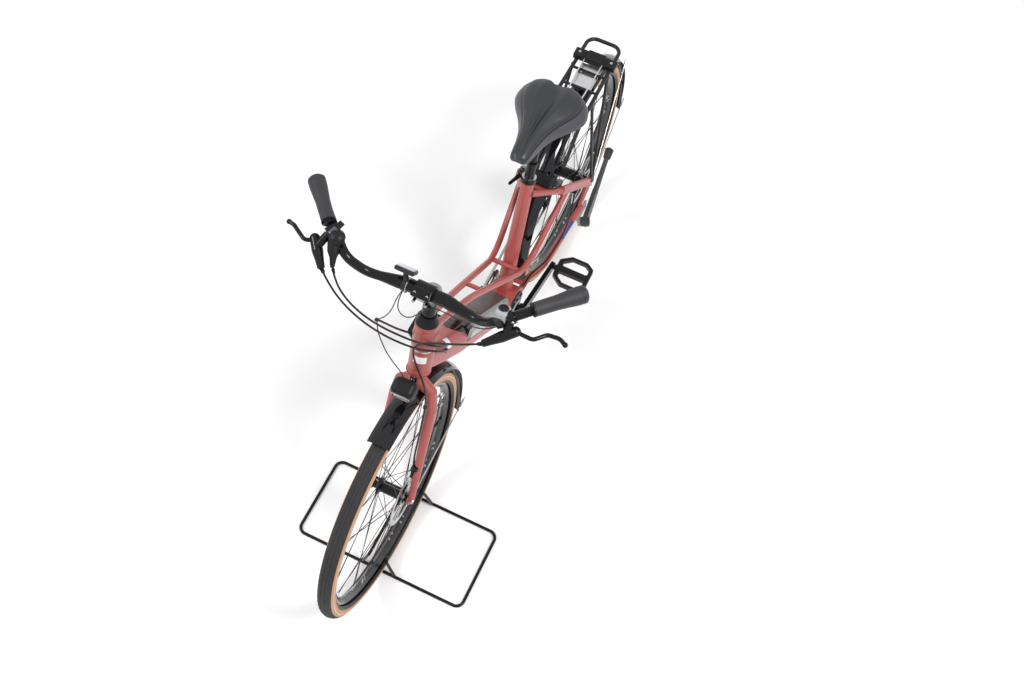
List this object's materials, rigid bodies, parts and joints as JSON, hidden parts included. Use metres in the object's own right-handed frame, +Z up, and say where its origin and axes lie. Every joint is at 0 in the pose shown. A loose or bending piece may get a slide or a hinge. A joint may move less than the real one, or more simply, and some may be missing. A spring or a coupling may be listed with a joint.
{
  "type": "step-through electric bicycle on a display stand",
  "caption": "Step-through electric bicycle with twin lateral tubes, mid motor, down-tube battery, fenders and rack, held in a wire front-wheel stand.",
  "frame": {"origin": "on the ground under the middle of the bounding box, in the plane of the wheels", "axes": "+X riding direction, +Y rider's left, +Z up"},
  "size_m": [1.8682, 0.6815, 1.1309],
  "materials": {
    "black_metal": "satin black paint",
    "black_plastic": "moulded black plastic",
    "frame_paint": "satin coral red paint",
    "gloss_black": "glossy black",
    "grey_plastic": "moulded grey plastic",
    "grip_rubber": "dark grey rubber",
    "saddle_cover": "black saddle cover",
    "silver": "brushed aluminium",
    "steel": "polished steel",
    "tyre": "black tread with tan sidewalls"
  },
  "bodies": {
    "frame": {"head_tube": "frame_paint", "down_tube": "frame_paint", "seat_tube": "frame_paint", "twin_tubes": "frame_paint", "seat_stays": "frame_paint", "chain_stays": "frame_paint", "motor": "grey_plastic", "battery": "black_plastic", "rear_fender": "gloss_black", "rear_fender_stays": "steel", "rack": "black_metal", "rack_block": "black_plastic", "rear_light": "black_plastic", "ring_lock": "black_plastic", "seatpost": "black_metal", "seat_clamp": "black_metal", "saddle": "saddle_cover", "saddle_rails": "steel", "rear_caliper": "black_metal", "derailleur": "black_metal", "chain": "steel", "stand_bracket": "grey_plastic", "rear_brake_hose": "black_plastic"},
    "steering": {"fork": "frame_paint", "lower_headset": "silver", "headset_cover": "black_plastic", "stem": "black_metal", "stem_cap": "grey_plastic", "handlebar": "black_metal", "grip_left": "grip_rubber", "grip_right": "grip_rubber", "brake_lever_left": "black_metal", "brake_lever_right": "black_metal", "shifter": "black_plastic", "display": "black_plastic", "headlight": "black_plastic", "front_brake_hose": "black_plastic", "bar_cables": "black_plastic", "front_fender": "gloss_black", "front_fender_stays": "steel", "front_caliper": "black_metal", "display_stand": "black_metal"},
    "front_wheel": {"front_tyre": "tyre", "front_rim": "black_metal", "front_spokes": "black_metal", "front_hub": "black_metal", "front_rotor": "steel"},
    "rear_wheel": {"rear_tyre": "tyre", "rear_rim": "black_metal", "rear_spokes": "black_metal", "rear_hub": "black_metal", "rear_rotor": "steel", "cassette": "steel"},
    "crank": {"crankset": "black_metal", "chainring": "black_metal"},
    "pedal_left": {"pedal_left": "black_plastic"},
    "pedal_right": {"pedal_right": "black_plastic"},
    "side_stand": {"side_stand_leg": "black_metal", "side_stand_foot": "grip_rubber"}
  },
  "joints": [
    {"name": "steering_turn", "type": "hinge", "parent": "frame", "child": "steering", "pos_m": [0.39234, 0, 0.74065], "axis": [-0.3256, 0, 0.9455], "range_deg": [-60, 60]},
    {"name": "front_wheel_spin", "type": "hinge", "parent": "steering", "child": "front_wheel", "pos_m": [0.5745, 0, 0.356], "axis": [0, 1, 0], "continuous": true},
    {"name": "rear_wheel_spin", "type": "hinge", "parent": "frame", "child": "rear_wheel", "pos_m": [-0.5545, 0, 0.356], "axis": [0, 1, 0], "continuous": true},
    {"name": "crank_spin", "type": "hinge", "parent": "frame", "child": "crank", "pos_m": [-0.0995, 0, 0.292], "axis": [0, 1, 0], "continuous": true},
    {"name": "pedal_left_spin", "type": "hinge", "parent": "crank", "child": "pedal_left", "pos_m": [-0.26927, 0, 0.3009], "axis": [0, 1, 0], "continuous": true},
    {"name": "pedal_right_spin", "type": "hinge", "parent": "crank", "child": "pedal_right", "pos_m": [0.07027, 0, 0.2831], "axis": [0, 1, 0], "continuous": true},
    {"name": "side_stand_fold", "type": "hinge", "parent": "frame", "child": "side_stand", "pos_m": [-0.4925, 0.096, 0.242], "axis": [-0.2794, 0.9315, 0.2329], "range_deg": [-110, 0]}
  ]
}
